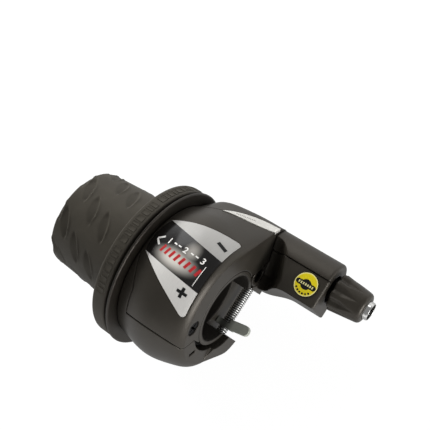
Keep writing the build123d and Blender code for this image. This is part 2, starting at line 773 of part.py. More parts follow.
def make_cable_drum():
    """Drum with a cable groove, a hole for the cable's end and driving dogs."""
    drum = tube(FLANGE_X, DRUM_END, TURN_R, DRUM_R)
    half = DRUM_GROOVE_WIDTH / 2
    drum -= tube(GROOVE_X - half, GROOVE_X + half, GROOVE_R, DRUM_R + OVERCUT)
    drum -= rod(DRUM_END - ANCHOR_DEPTH, DRUM_END, ANCHOR_R, 0, -GROOVE_R)
    return drum + drum_dogs()


def grip_radius(x):
    """Outer radius of the rubber between the ring and its end."""
    share = (x - GRIP_ROOT_X) / (GRIP_END_X - GRIP_ROOT_X)
    return GRIP_ROOT_R + share * (GRIP_END_R - GRIP_ROOT_R)


def tread_pocket(x, angle):
    """Slanted leaf-shaped pocket, sunk into the rubber at an angle about the bar."""
    half, bulge = TREAD_LENGTH / 2, TREAD_WIDTH / 2
    leaf = make_face([
        ThreePointArc((-half, 0), (0, bulge), (half, 0)),
        ThreePointArc((half, 0), (0, -bulge), (-half, 0)),
    ])
    floor = grip_radius(x) - TREAD_DEPTH
    sheet = Pos(x, 0, floor) * Rot(0, 0, TREAD_SLANT) * leaf
    return Rot(angle, 0, 0) * extrude(sheet, GRIP_ROOT_R)


def make_rubber_grip():
    """Rubber sleeve with a raised ring and rows of tread pockets."""
    inner = BARREL_R + SEAT_GAP
    grip = turned(
        (GRIP_END_X, inner),
        (GRIP_END_X, GRIP_END_R - GRIP_EDGE),
        (GRIP_END_X + GRIP_EDGE, GRIP_END_R),
        (GRIP_ROOT_X, GRIP_ROOT_R),
        (GRIP_ROOT_X, RING_R - RING_EDGE),
        (GRIP_ROOT_X + RING_EDGE, RING_R),
        (RING_X - RING_EDGE, RING_R),
        (RING_X, RING_R - RING_EDGE),
        (RING_X, inner),
    )
    for offset_x, turn in TREAD_ROWS:
        for k in range(TREAD_COUNT):
            grip -= tread_pocket(GRIP_END_X + offset_x, 360 * (k + turn) / TREAD_COUNT)
    return grip


def make_adjuster_bush():
    return tube(BUSH_X, BUSH_END, STEM_R + RUN_CLEARANCE, BUSH_R, ARM_Y, ARM_Z)


def make_adjuster_barrel():
    return tube(BUSH_X + STEM_SETBACK, STEM_END, CABLE_HOLE_R, STEM_R, ARM_Y, ARM_Z)


def make_adjuster_knob():
    """Tapered knob with flutes, on the barrel's end and round the ferrule."""
    knob = turned_on_arm(
        (KNOB_X, 0),
        (KNOB_X, KNOB_R - KNOB_EDGE),
        (KNOB_X + KNOB_EDGE, KNOB_R),
        (KNOB_END - KNOB_EDGE, KNOB_TIP_R),
        (KNOB_END, KNOB_TIP_R - KNOB_EDGE),
        (KNOB_END, 0),
    )
    lean = degrees(atan2(KNOB_R - KNOB_TIP_R, KNOB_LENGTH))
    away = (KNOB_R + KNOB_TIP_R) / 2 + FLUTE_R - FLUTE_DEPTH
    flute = Rot(0, lean, 0) * rod(-KNOB_LENGTH, KNOB_LENGTH / 2 - FLUTE_END, FLUTE_R)
    flute = Pos((KNOB_X + KNOB_END) / 2, 0, away) * flute
    for k in range(FLUTE_COUNT):
        knob -= Pos(0, ARM_Y, ARM_Z) * Rot(360 * k / FLUTE_COUNT, 0, 0) * flute
    knob -= rod(KNOB_X - OVERCUT, STEM_END, STEM_R + SEAT_GAP, ARM_Y, ARM_Z)
    return knob - rod(STEM_END, KNOB_END + OVERCUT, FERRULE_R + RUN_CLEARANCE, ARM_Y, ARM_Z)


def make_adjuster_ferrule():
    """Bright end with a socket for the cable's casing."""
    socket_x = FERRULE_END - SOCKET_DEPTH
    return turned_on_arm(
        (FERRULE_X, CABLE_HOLE_R),
        (FERRULE_X, FERRULE_R),
        (FERRULE_END - FERRULE_EDGE, FERRULE_R),
        (FERRULE_END, FERRULE_R - FERRULE_EDGE / 2),
        (FERRULE_END, SOCKET_R),
        (socket_x, SOCKET_R),
        (socket_x, CABLE_HOLE_R),
    )


def main():
    os.makedirs("parts", exist_ok=True)
    form = housing_form()
    arm = arm_form()
    pieces = {
        "base_bracket": make_base_bracket(form, arm),
        "upper_cover": make_upper_cover(form),
        "label_plate": make_inlay(label_region()),
        "shoulder_strip": make_inlay(strip_region()),
        "arm_cap": make_arm_cap(arm),
        "round_sticker": make_round_sticker(),
        "clamp_band": make_clamp_band(),
        "clamp_plate": make_clamp_plate(),
        "clamp_screw": make_clamp_screw(),
        "clamp_nut": make_clamp_nut(),
        "cover_screws": make_cover_screws(),
        "cable_guide": make_cable_guide(),
        "friction_disc": make_friction_disc(),
        "disc_spring": make_disc_spring(),
        "thrust_washer": make_thrust_washer(),
        "retaining_ring": make_retaining_ring(),
        "grip_barrel": make_grip_barrel(),
        "rubber_grip": make_rubber_grip(),
        "cable_drum": make_cable_drum(),
        "adjuster_bush": make_adjuster_bush(),
        "adjuster_barrel": make_adjuster_barrel(),
        "adjuster_knob": make_adjuster_knob(),
        "adjuster_ferrule": make_adjuster_ferrule(),
    }
    for name, piece in pieces.items():
        export_step(piece, f"parts/{name}.step")


if __name__ == "__main__":
    main()
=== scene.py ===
"""Looks of the twist grip shifter: housing, rubber grip, printed label, clamp and barrel adjuster."""
import math

import bmesh
import bpy
from bpy.props import FloatProperty, FloatVectorProperty, IntProperty, PointerProperty
from mathutils import Matrix, Vector
from mathutils.bvhtree import BVHTree


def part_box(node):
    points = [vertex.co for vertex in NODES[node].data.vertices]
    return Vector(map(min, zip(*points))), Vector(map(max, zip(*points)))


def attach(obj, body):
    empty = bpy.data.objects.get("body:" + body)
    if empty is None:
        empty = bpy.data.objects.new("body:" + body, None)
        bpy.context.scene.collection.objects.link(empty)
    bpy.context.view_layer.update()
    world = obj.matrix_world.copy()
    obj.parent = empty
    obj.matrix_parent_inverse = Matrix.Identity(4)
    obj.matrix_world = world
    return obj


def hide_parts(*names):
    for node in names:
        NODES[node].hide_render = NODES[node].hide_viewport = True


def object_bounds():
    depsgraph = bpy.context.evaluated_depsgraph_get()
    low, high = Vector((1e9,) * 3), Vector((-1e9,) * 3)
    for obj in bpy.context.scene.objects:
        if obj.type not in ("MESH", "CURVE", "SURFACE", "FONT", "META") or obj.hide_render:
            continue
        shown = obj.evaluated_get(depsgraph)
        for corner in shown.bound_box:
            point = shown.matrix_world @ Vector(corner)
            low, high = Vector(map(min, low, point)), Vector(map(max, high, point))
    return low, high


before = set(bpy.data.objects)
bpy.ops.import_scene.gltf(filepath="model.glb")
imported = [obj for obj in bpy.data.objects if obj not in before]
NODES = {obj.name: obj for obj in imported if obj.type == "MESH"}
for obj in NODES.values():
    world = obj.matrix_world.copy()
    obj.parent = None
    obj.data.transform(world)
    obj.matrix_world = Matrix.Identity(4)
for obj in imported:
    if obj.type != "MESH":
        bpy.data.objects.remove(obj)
CAD_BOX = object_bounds()

bl_info = {
    "name": "Twist Grip Shifter",
    "version": (1, 0, 0),
    "blender": (4, 5, 0),
    "location": "3D View > Sidebar > Shifter",
    "description": "Dresses the packed twist grip shifter and sets it on a pale studio floor",
    "category": "Object",
}

MM = 0.001

# Shoulder strip's direction, the direction across it, and the middle of its ticks on those two, in mm
STRIP_ALONG = Vector((0.838, 0.243, -0.486))
STRIP_ACROSS = Vector((0.526, -0.591, 0.611))
STRIP_ROW = (-2.9, -18.6)

# Edges of the label's two silver fields and its two pale clouds of painted reflection, with their half
# sizes and strength, in mm
MINUS_EDGE = ((-21.4, 12.6), (-1.6, 9.9))
PLUS_EDGE = ((-2.2, -0.8), (-21.7, 1.4))
WIDE_PAINTED_REFLECTION = ((-11.6, 3.4), (8.5, 4.0), 0.95)
HIGH_PAINTED_REFLECTION = ((-9.0, 7.6), (3.0, 4.2), 0.45)

# Bars of the minus and the plus: middle, width, height in mm and turn in degrees
SIGN_BARS = (((-4.3, 13.6), 3.4, 0.9, -18), ((-5.0, -3.05), 3.0, 0.85, 0), ((-5.0, -3.05), 0.85, 3.0, 0))

# Red scale: first bar's middle and the step to the next, in mm
SCALE_FIRST = (-16.6, 4.5)
SCALE_STEP = (1.75, -0.1)

# White bars, given in the same way: the end rule, the pointer's two sides and the dashes between numbers
RULE_BARS = (
    ((-3.6, 3.2), 0.16, 6.4, 0),
    ((-19.4, 5.35), 2.3, 0.55, -38), ((-19.4, 6.85), 2.3, 0.55, 38),
    ((-14.2, 7.35), 0.9, 0.4, -6), ((-12.7, 7.35), 0.9, 0.4, -6),
    ((-8.6, 7.35), 0.9, 0.4, -6), ((-7.1, 7.35), 0.9, 0.4, -6),
)

# Numbers: first one's corner, the step along X to the next and the size, in mm
NUMBER_FIRST = (-16.9, 6.4)
NUMBER_STEP = 5.6
NUMBER_SIZE = 2.5

# Rows of tread pockets: distance from the grip's end in mm and turn as a share of the pitch
TREAD_ROWS = ((-0.8, 0.1), (3.7, 0.4), (10.2, 0.8), (16.9, 0.0))

# Soft lights in metres: place, the point that each faces, its side and whether mirror images show it
KEY_LIGHT = ((-0.43, 0.17, 0.20), (-0.01, 0, 0), 0.25, False)
TOP_LIGHT = ((-0.19, 0.38, 0.26), (0, 0.01, 0), 0.30, True)
FILL_LIGHT = ((0.48, -0.08, 0.04), (0, 0.01, 0), 0.30, True)

# Camera at the photograph's angle: place in metres, its three directions, lens and sensor in mm
PHOTO_PLACE = (0.07587, 0.0, 0.21027)
PHOTO_RIGHT = (0.78228, 0.54714, -0.29781)
PHOTO_UP = (-0.46734, 0.83157, 0.30016)
PHOTO_BACK = (0.41188, -0.09563, 0.90621)
PHOTO_LENS = 62.79
PHOTO_SENSOR = 36.0

# Tint of the gloss on the dark mouldings
WARM = "#fff6ea"


def paint(code):
    """Linear colour with full alpha from an sRGB hex code."""
    channels = [int(code[k:k + 2], 16) / 255 for k in (1, 3, 5)]
    linear = [c / 12.92 if c <= 0.04045 else ((c + 0.055) / 1.055) ** 2.4 for c in channels]
    return (*linear, 1.0)


def colour(name, description, code):
    """Colour property with its default from an sRGB hex code."""
    return FloatVectorProperty(name=name, description=description, default=paint(code), size=4,
                               min=0.0, max=1.0, subtype="COLOR")


def strength(name, description, value, unit="NONE"):
    """Strength property with its default, never below zero."""
    return FloatProperty(name=name, description=description, default=value, min=0.0, unit=unit)


def length(name, description, millimetres):
    """Length property with its default in millimetres."""
    return FloatProperty(name=name, description=description, default=millimetres * MM, min=0.0,
                         unit="LENGTH", subtype="DISTANCE", precision=5)


# Settings that a user would change

class ShifterHousing(bpy.types.PropertyGroup):
    """Moulded housing, cover, arm and knob."""
    plastic: colour("Housing plastic", "Colour of the moulded housing, cover and arm", "#2a2722")
    barrel: colour("Barrel plastic", "Colour of the barrel's flange beside the ring", "#191612")
    inner: colour("Inner plastic", "Colour of the hidden drum, guide and friction disc", "#c9c6bb")
    edge: length("Edge softness", "Radius that the moulded edges seem to have", 0.6)
    grain: length("Grain size", "Size of the moulded grain", 0.45)


class ShifterGrip(bpy.types.PropertyGroup):
    """Rubber grip with its ring."""
    rubber: colour("Rubber", "Colour of the grip's rubber", "#38352f")
    root_radius: length("Root radius", "Grip's radius beside the ring", 18.1)
    end_radius: length("End radius", "Grip's radius at its outboard end", 16.5)
    inner_radius: length("Inner radius", "Radius of the rubber's bore", 14.31)
    ring_radius: length("Ring radius", "Radius of the raised ring", 26.0)
    ring_width: length("Ring width", "Width of the raised ring", 4.8)
    tread_length: length("Tread length", "Length of a tread pocket", 11.0)
    tread_width: length("Tread width", "Width of a tread pocket", 3.4)
    tread_depth: length("Tread depth", "Depth of a tread pocket at its steep side", 0.7)
    tread_count: IntProperty(name="Treads in a row", description="Tread pockets round the grip", default=8,
                             min=1)
    tread_slant: FloatProperty(name="Tread slant", description="Turn of a tread pocket from the bar's axis",
                               default=math.radians(111), subtype="ANGLE")
    mark_height: length("Mark height", "Height of the raised marks on the ring", 0.16)


class ShifterLabel(bpy.types.PropertyGroup):
    """Printed label, foil strip and round sticker."""
    silver: colour("Label silver", "Colour of the two silver fields", "#c8c6c2")
    black: colour("Label black", "Colour of the field between them", "#0d0b0a")
    painted_glow: colour("Label glow", "Colour of the pale cloud in the black field", "#e2ddd4")
    # Painted reflection: the pale cloud on the black field stands in for a lamp's gloss
    white: colour("White ink", "Colour of the numbers", "#f4f2ee")
    red: colour("Red ink", "Colour of the scale bars", "#b3262b")
    ink: colour("Black ink", "Colour of the plus and minus", "#080808")
    foil: colour("Foil", "Colour of the shoulder strip", "#dbd9d3")
    yellow: colour("Sticker yellow", "Colour of the round sticker", "#d2c010")
    print_height: length("Print height", "Thickness of the printed ink", 0.04)


class ShifterMetal(bpy.types.PropertyGroup):
    """Metal pieces of the clamp and the adjuster."""
    bright: colour("Bright plate", "Colour of the bright plated screw and ferrule", "#dcdcda")
    plated: colour("Zinc plate", "Colour of the zinc plated clamp pieces", "#c2c5ba")
    spring: colour("Spring steel", "Colour of the dark plated ring, spring and washer", "#5c5c58")
    # Also worn by the band, and by the bush and barrel as painted shade in the gap by the knob
    black: colour("Black steel", "Colour of the blackened cover screws", "#161514")
    pitch: length("Thread pitch", "Pitch of the clamp screw's thread", 0.7)
    thread_depth: length("Thread depth", "Depth of the clamp screw's thread", 0.4)


class ShifterStage(bpy.types.PropertyGroup):
    """Floor and lights."""
    floor: colour("Floor", "Colour of the pale floor", "#f4f4f4")
    floor_size: length("Floor size", "Side of the square floor", 6000.0)
    key_power: strength("Key power", "Power of the soft light from the left", 3.0, "POWER")
    top_power: strength("Top power", "Power of the soft light over the arm", 0.5, "POWER")
    fill_power: strength("Fill power", "Power of the soft light on the inboard face", 2.8, "POWER")
    horizon: strength("Horizon", "Strength of the sky low down, all round", 1.1)
    zenith: strength("Zenith", "Strength of the sky overhead", 0.26)


# Shader building

def add(tree, kind, settings=None, **inputs):
    """Adds one shader node with its settings; an input is a value or another node's output."""
    node = tree.nodes.new("ShaderNode" + kind)
    for name, value in (settings or {}).items():
        setattr(node, name, value)
    for name, value in inputs.items():
        socket = node.inputs[int(name[1:])] if name[0] == "_" else node.inputs[name.replace("_", " ")]
        if isinstance(value, bpy.types.NodeSocket):
            tree.links.new(value, socket)
        else:
            socket.default_value = value
    return node


def blank(name):
    """New material, its cleared node tree and the output that gives each point's place."""
    material = bpy.data.materials.new(name)
    material.use_nodes = True
    tree = material.node_tree
    tree.nodes.clear()
    return material, tree, add(tree, "TexCoord").outputs["Object"]


def show(tree, surface):
    """Links a shader to the material's output."""
    add(tree, "OutputMaterial", Surface=surface)


def dimmed(tint, share):
    """Colour at a share of its strength."""
    return tuple(c * share for c in tint[:3]) + (1.0,)


def from_axis(tree, place, centre, across):
    """Distance from an axis through a centre; across scales the directions that it is measured in."""
    local = add(tree, "VectorMath", {"operation": "SUBTRACT"}, _0=place, _1=centre)
    wheel = add(tree, "VectorMath", {"operation": "MULTIPLY"}, _0=local.outputs[0], _1=across)
    return add(tree, "VectorMath", {"operation": "LENGTH"}, _0=wheel.outputs[0]).outputs["Value"]


def seen_by(tree, rays, *kinds):
    """1 for the rays of any of these kinds, else 0."""
    seen = rays.outputs[kinds[0]]
    for kind in kinds[1:]:
        both = add(tree, "Math", {"operation": "ADD", "use_clamp": True}, _0=seen, _1=rays.outputs[kind])
        seen = both.outputs[0]
    return seen


def dress(name, material):
    """Gives one CAD node its material."""
    slots = NODES[name].data.materials
    slots.clear()
    slots.append(material)


# Mesh building

def finish_mesh(bm, name, material, sharp=35.0):
    """Makes an object from a bmesh, smooth up to a given angle."""
    bmesh.ops.remove_doubles(bm, verts=bm.verts, dist=0.001 * MM)
    bmesh.ops.recalc_face_normals(bm, faces=bm.faces)
    mesh = bpy.data.meshes.new(name)
    bm.to_mesh(mesh)
    bm.free()
    mesh.shade_smooth()
    mesh.set_sharp_from_angle(angle=math.radians(sharp))
    mesh.materials.append(material)
    piece = bpy.data.objects.new(name, mesh)
    bpy.context.scene.collection.objects.link(piece)
    return piece


def turn_outline(outline, steps):
    """Bmesh turned about X from an outline of x and radius in metres."""
    bm = bmesh.new()
    verts = [bm.verts.new((x, 0.0, r)) for x, r in outline]
    edges = [bm.edges.new(pair) for pair in zip(verts, verts[1:] + verts[:1])]
    bmesh.ops.spin(bm, geom=verts + edges, cent=(0, 0, 0), axis=(1, 0, 0), angle=2 * math.pi,
                   steps=steps, use_merge=True)
    bmesh.ops.remove_doubles(bm, verts=bm.verts, dist=0.001 * MM)
    return bm


def rounded(corner, before, after, radius, steps=4):
    """Points of a rounded corner between two neighbouring points of an outline."""
    corner, before, after = Vector(corner), Vector(before), Vector(after)
    start = corner + (before - corner).normalized() * radius
    end = corner + (after - corner).normalized() * radius
    points = []
    for k in range(steps + 1):
        t = k / steps
        points.append(tuple((1 - t) ** 2 * start + 2 * t * (1 - t) * corner + t * t * end))
    return points


def soften(outline, radii):
    """Outline with each corner rounded by its own radius."""
    points = []
    count = len(outline)
    for k, corner in enumerate(outline):
        if radii[k]:
            points += rounded(corner, outline[k - 1], outline[(k + 1) % count], radii[k])
        else:
            points.append(tuple(corner))
    return points


def divided(outline, step, low, high):
    """Outline whose long run between two places along X has points at an even step."""
    points = []
    for (x0, r0), (x1, r1) in zip(outline, outline[1:] + outline[:1]):
        points.append((x0, r0))
        if x1 - x0 > 10 * step and x0 > low and x1 < high:
            count = round((x1 - x0) / step)
            for k in range(1, count):
                t = k / count
                points.append((x0 + t * (x1 - x0), r0 + t * (r1 - r0)))
    return points


def raise_film(bm, faces, tall):
    """Pulls flat faces up into a thin film."""
    raised = bmesh.ops.extrude_face_region(bm, geom=faces)["geom"]
    verts = [v for v in raised if isinstance(v, bmesh.types.BMVert)]
    bmesh.ops.translate(bm, vec=(0, 0, tall), verts=verts)


def surface_of(name):
    """Search tree over one CAD node's faces."""
    mesh = NODES[name].data
    return BVHTree.FromPolygons([v.co for v in mesh.vertices], [p.vertices for p in mesh.polygons])


def lay_on(bm, tree):
    """Lets each vertex down on the surface below it, keeping its own height above that."""
    above = Vector((0, 0, 100 * MM))
    for vert in bm.verts:
        spot = tree.ray_cast(vert.co + above, Vector((0, 0, -1)))[0]
        if spot is None:
            raise RuntimeError("a printed mark lies off its surface")
        vert.co.z += spot.z


# Finishes

def moulded_plastic(name, tint, edge, grain, rough, bore=0.0):
    """Plastic, injection moulded with a fine grain: satin, with soft bright edges, and dull and darkened in
    the bore by painted shade.
    """
    material, tree, place = blank(name)
    soft = add(tree, "Bevel", {"samples": 6}, Radius=edge)
    cloud = add(tree, "TexNoise", Vector=place, Scale=1 / (9 * MM), Detail=3.0)
    pebble = add(tree, "TexNoise", Vector=place, Scale=1 / grain, Detail=2.0, Roughness=0.6)
    bump = add(tree, "Bump", Strength=0.25, Distance=0.02 * MM, Height=pebble.outputs[0],
               Normal=soft.outputs["Normal"])
    shade = add(tree, "MapRange", Value=cloud.outputs[0], From_Min=0.3, From_Max=0.7, To_Min=0.88,
                To_Max=1.12)
    # Painted shade: inside the bore's radius the colour drops to 0.3 of itself and the surface turns rough
    reach = from_axis(tree, place, (0, 0, 0), (0, 1, 1))
    bore_painted_shade = add(tree, "MapRange", Value=reach, From_Min=bore, From_Max=bore + 0.2 * MM, To_Min=0.3,
                  To_Max=1.0)
    level = add(tree, "Math", {"operation": "MULTIPLY"}, _0=shade.outputs[0], _1=bore_painted_shade.outputs[0])
    body = add(tree, "VectorMath", {"operation": "SCALE"}, _0=tint[:3], Scale=level.outputs[0])
    polish = add(tree, "MapRange", Value=cloud.outputs[0], From_Min=0.3, From_Max=0.7, To_Min=rough - 0.04,
                 To_Max=rough + 0.04)
    gloss = add(tree, "Mix", {"data_type": "FLOAT"}, _0=bore_painted_shade.outputs[0], _2=0.8, _3=polish.outputs[0])
    surface = add(tree, "BsdfPrincipled", Base_Color=body.outputs[0], Roughness=gloss.outputs[0], IOR=1.53,
                  Specular_IOR_Level=0.42, Specular_Tint=paint(WARM), Normal=bump.outputs["Normal"])
    show(tree, surface.outputs[0])
    return material


def grip_rubber(tint, edge):
    """Thermoplastic rubber, moulded in an etched tool: matt, with a dusty bloom and faint mottling."""
    material, tree, place = blank("thermoplastic_rubber_moulded")
    soft = add(tree, "Bevel", {"samples": 6}, Radius=edge)
    mottle = add(tree, "TexNoise", Vector=place, Scale=1 / (5 * MM), Detail=4.0, Roughness=0.6)
    etch = add(tree, "TexNoise", Vector=place, Scale=1 / (0.5 * MM), Detail=3.0, Roughness=0.7)
    bump = add(tree, "Bump", Strength=0.35, Distance=0.03 * MM, Height=etch.outputs[0],
               Normal=soft.outputs["Normal"])
    dust = add(tree, "MapRange", Value=mottle.outputs[0], From_Min=0.35, From_Max=0.75, To_Min=0.0,
               To_Max=0.35)
    body = add(tree, "Mix", {"data_type": "RGBA"}, _0=dust.outputs[0], _6=tint, _7=dimmed(tint, 1.6))
    surface = add(tree, "BsdfPrincipled", Base_Color=body.outputs[2], Roughness=0.6, IOR=1.5,
                  Specular_IOR_Level=0.28, Specular_Tint=paint(WARM), Normal=bump.outputs["Normal"])
    show(tree, surface.outputs[0])
    return material


def bright_metal(name, tint, rough, edge, roots=(0.0, 0.01 * MM), centre=(0, 0, 0)):
    """Steel with a bright plate: a clear mirror with faint clouds, and painted shade darkening a thread's
    roots.
    """
    material, tree, place = blank(name)
    soft = add(tree, "Bevel", {"samples": 6}, Radius=edge)
    haze = add(tree, "TexNoise", Vector=place, Scale=1 / (0.7 * MM), Detail=3.0)
    gloss = add(tree, "MapRange", Value=haze.outputs[0], To_Min=rough * 0.6, To_Max=rough * 1.4)
    # Painted shade: the colour falls to a quarter of itself towards the thread's roots
    reach = from_axis(tree, place, centre, (1, 0, 1))
    painted_shade_mask = add(tree, "MapRange", Value=reach, From_Min=roots[0], From_Max=roots[1])
    body = add(tree, "Mix", {"data_type": "RGBA"}, _0=painted_shade_mask.outputs[0], _6=dimmed(tint, 0.25), _7=tint)
    surface = add(tree, "BsdfPrincipled", Base_Color=body.outputs[2], Metallic=1.0,
                  Roughness=gloss.outputs[0], Normal=soft.outputs["Normal"])
    show(tree, surface.outputs[0])
    return material


def zinc_plate(name, tint, edge, screw):
    """Pressed steel with a dull zinc plate: grey, cloudy, half matt, with a painted shadow darkening it
    round the screw.
    """
    material, tree, place = blank(name)
    soft = add(tree, "Bevel", {"samples": 6}, Radius=edge)
    cloud = add(tree, "TexNoise", Vector=place, Scale=1 / (2.5 * MM), Detail=4.0, Roughness=0.65)
    plate = add(tree, "Mix", {"data_type": "RGBA"}, _0=cloud.outputs[0], _6=dimmed(tint, 0.7), _7=tint)
    # Painted shadow: within 2.6 to 4.2 mm of the screw's axis the colour falls to a tenth of itself
    reach = from_axis(tree, place, screw, (1, 0, 1))
    painted_shade_mask = add(tree, "MapRange", Value=reach, From_Min=2.6 * MM, From_Max=4.2 * MM)
    body = add(tree, "Mix", {"data_type": "RGBA"}, _0=painted_shade_mask.outputs[0], _6=dimmed(tint, 0.1),
               _7=plate.outputs[2])
    gloss = add(tree, "MapRange", Value=cloud.outputs[0], To_Min=0.38, To_Max=0.58)
    surface = add(tree, "BsdfPrincipled", Base_Color=body.outputs[2], Metallic=0.4,
                  Roughness=gloss.outputs[0], Normal=soft.outputs["Normal"])
    show(tree, surface.outputs[0])
    return material


def beside_line(tree, place, start, end, blur):
    """Share from 0 to 1 across a straight line in the label's plan, 1 on its left side, blurred in mm."""
    along = Vector((end[0] - start[0], end[1] - start[1])).normalized()
    left = Vector((-along.y, along.x, 0.0)) / MM
    reach = left.x * start[0] * MM + left.y * start[1] * MM
    side = add(tree, "VectorMath", {"operation": "DOT_PRODUCT"}, _0=place, _1=left)
    share = add(tree, "MapRange", {"interpolation_type": "SMOOTHSTEP"}, Value=side.outputs["Value"],
                From_Min=reach - blur, From_Max=reach + blur)
    return share.outputs[0]


def soft_oval(tree, place, centre, half, strength):
    """Soft oval in the label's plan, in mm, strongest at its middle."""
    local = add(tree, "Mapping", {"vector_type": "POINT"}, Vector=place,
                Location=(-centre[0] / half[0], -centre[1] / half[1], 0),
                Scale=(1 / (half[0] * MM), 1 / (half[1] * MM), 0))
    reach = add(tree, "VectorMath", {"operation": "LENGTH"}, _0=local.outputs[0])
    share = add(tree, "MapRange", {"interpolation_type": "SMOOTHSTEP"}, Value=reach.outputs["Value"],
                From_Min=0.1, From_Max=1.0, To_Min=strength, To_Max=0.0)
    return share.outputs[0]


def printed_label(props):
    """Polycarbonate label printed from behind: glossy, two brushed silver fields, one black clouded by a
    painted reflection.
    """
    material, tree, place = blank("polycarbonate_label_printed")
    blur = 0.06
    minus = beside_line(tree, place, *MINUS_EDGE, blur)
    plus = beside_line(tree, place, *PLUS_EDGE, blur)
    # Painted reflection: a pale cloud of two soft ovals joined
    wide = soft_oval(tree, place, *WIDE_PAINTED_REFLECTION)
    high = soft_oval(tree, place, *HIGH_PAINTED_REFLECTION)
    cloud = add(tree, "Math", {"operation": "MAXIMUM"}, _0=wide, _1=high)
    dark = add(tree, "Mix", {"data_type": "RGBA"}, _0=cloud.outputs[0], _6=tuple(props.black),
               _7=tuple(props.painted_glow))
    # Silver: brushed across, whiter at the outboard points
    brush_place = add(tree, "Mapping", Vector=place, Scale=(1 / (0.12 * MM), 1 / (2.5 * MM), 0))
    brush = add(tree, "TexNoise", Vector=brush_place.outputs[0], Scale=1.0, Detail=2.0)
    apart = add(tree, "SeparateXYZ", Vector=place)
    fade = add(tree, "MapRange", Value=apart.outputs["X"], From_Min=-20 * MM, From_Max=-2 * MM, To_Min=1.0,
               To_Max=0.8)
    tone = add(tree, "MapRange", Value=brush.outputs[0], To_Min=0.88, To_Max=1.12)
    level = add(tree, "Math", {"operation": "MULTIPLY"}, _0=fade.outputs[0], _1=tone.outputs[0])
    lift = add(tree, "Math", {"operation": "MULTIPLY_ADD"}, _0=plus, _1=0.5, _2=0.78)
    level = add(tree, "Math", {"operation": "MULTIPLY"}, _0=level.outputs[0], _1=lift.outputs[0])
    silver = add(tree, "VectorMath", {"operation": "SCALE"}, _0=tuple(props.silver)[:3],
                 Scale=level.outputs[0])
    fields = add(tree, "Math", {"operation": "MAXIMUM"}, _0=minus, _1=plus)
    body = add(tree, "Mix", {"data_type": "RGBA"}, _0=fields.outputs[0], _6=dark.outputs[2],
               _7=silver.outputs[0])
    gloss = add(tree, "MapRange", Value=fields.outputs[0], To_Min=0.2, To_Max=0.34)
    surface = add(tree, "BsdfPrincipled", Base_Color=body.outputs[2], Roughness=gloss.outputs[0], IOR=1.5,
                  Coat_Weight=0.3, Coat_Roughness=0.1)
    show(tree, surface.outputs[0])
    return material


def strip_foil(props):
    """Hot-stamped foil: pale silver, softly glossy, with a short row of fine dark ticks."""
    material, tree, place = blank("hot_stamped_foil")
    sweep = add(tree, "TexNoise", Vector=place, Scale=1 / (3 * MM), Detail=3.0)
    tone = add(tree, "MapRange", Value=sweep.outputs[0], To_Min=0.8, To_Max=1.1)
    body = add(tree, "VectorMath", {"operation": "SCALE"}, _0=tuple(props.foil)[:3], Scale=tone.outputs[0])
    # Ticks: a row along the strip, told by the distance along it and the distance from its middle
    along = add(tree, "VectorMath", {"operation": "DOT_PRODUCT"}, _0=place, _1=STRIP_ALONG / MM)
    across = add(tree, "VectorMath", {"operation": "DOT_PRODUCT"}, _0=place, _1=STRIP_ACROSS / MM)
    pitch, gap, half_high, half_long = 0.28, 0.13, 0.32, 3.2
    step = add(tree, "Math", {"operation": "PINGPONG"}, _0=along.outputs["Value"], _1=pitch)
    tick = add(tree, "Math", {"operation": "GREATER_THAN"}, _0=step.outputs[0], _1=gap)
    row = add(tree, "Math", {"operation": "COMPARE"}, _0=across.outputs["Value"], _1=STRIP_ROW[1],
              _2=half_high)
    run = add(tree, "Math", {"operation": "COMPARE"}, _0=along.outputs["Value"], _1=STRIP_ROW[0],
              _2=half_long)
    marks = add(tree, "Math", {"operation": "MULTIPLY"}, _0=row.outputs[0], _1=run.outputs[0])
    marks = add(tree, "Math", {"operation": "MULTIPLY"}, _0=marks.outputs[0], _1=tick.outputs[0])
    shown = add(tree, "Mix", {"data_type": "RGBA"}, _0=marks.outputs[0], _6=body.outputs[0],
                _7=paint("#6d6a62"))
    surface = add(tree, "BsdfPrincipled", Base_Color=shown.outputs[2], Metallic=0.35, Roughness=0.35)
    show(tree, surface.outputs[0])
    return material


def round_print(props, centre, radius):
    """Vinyl sticker: yellow, glossy, with a pale line inside a dark rim that is painted shadow."""
    material, tree, place = blank("vinyl_sticker_printed")
    rings = add(tree, "ValToRGB", Fac=from_axis(tree, place, centre, (1 / radius, 1 / radius, 0)))
    stops = rings.color_ramp.elements
    stops[0].position, stops[0].color = 0.0, tuple(props.yellow)
    stops[1].position, stops[1].color = 0.88, tuple(props.yellow)
    # The dark rim from 0.975 outwards is painted shadow round the sticker's edge
    pale, rim = paint("#e2d98c"), paint("#1a1712")
    for spot, tint in ((0.91, pale), (0.96, pale), (0.975, rim), (1.0, rim)):
        stops.new(spot).color = tint
    fleck = add(tree, "TexNoise", Vector=place, Scale=1 / (0.8 * MM), Detail=3.0)
    gloss = add(tree, "MapRange", Value=fleck.outputs[0], To_Min=0.22, To_Max=0.36)
    surface = add(tree, "BsdfPrincipled", Base_Color=rings.outputs[0], Roughness=gloss.outputs[0], IOR=1.5)
    show(tree, surface.outputs[0])
    return material


def ink(name, tint):
    """Screen-printed ink: even colour with the faint mottle of a thin film."""
    material, tree, place = blank(name)
    film = add(tree, "TexNoise", Vector=place, Scale=1 / (0.6 * MM), Detail=2.0)
    tone = add(tree, "MapRange", Value=film.outputs[0], To_Min=0.92, To_Max=1.04)
    body = add(tree, "VectorMath", {"operation": "SCALE"}, _0=tuple(tint)[:3], Scale=tone.outputs[0])
    surface = add(tree, "BsdfPrincipled", Base_Color=body.outputs[0], Roughness=0.55, IOR=1.4)
    show(tree, surface.outputs[0])
    return material


# Operators

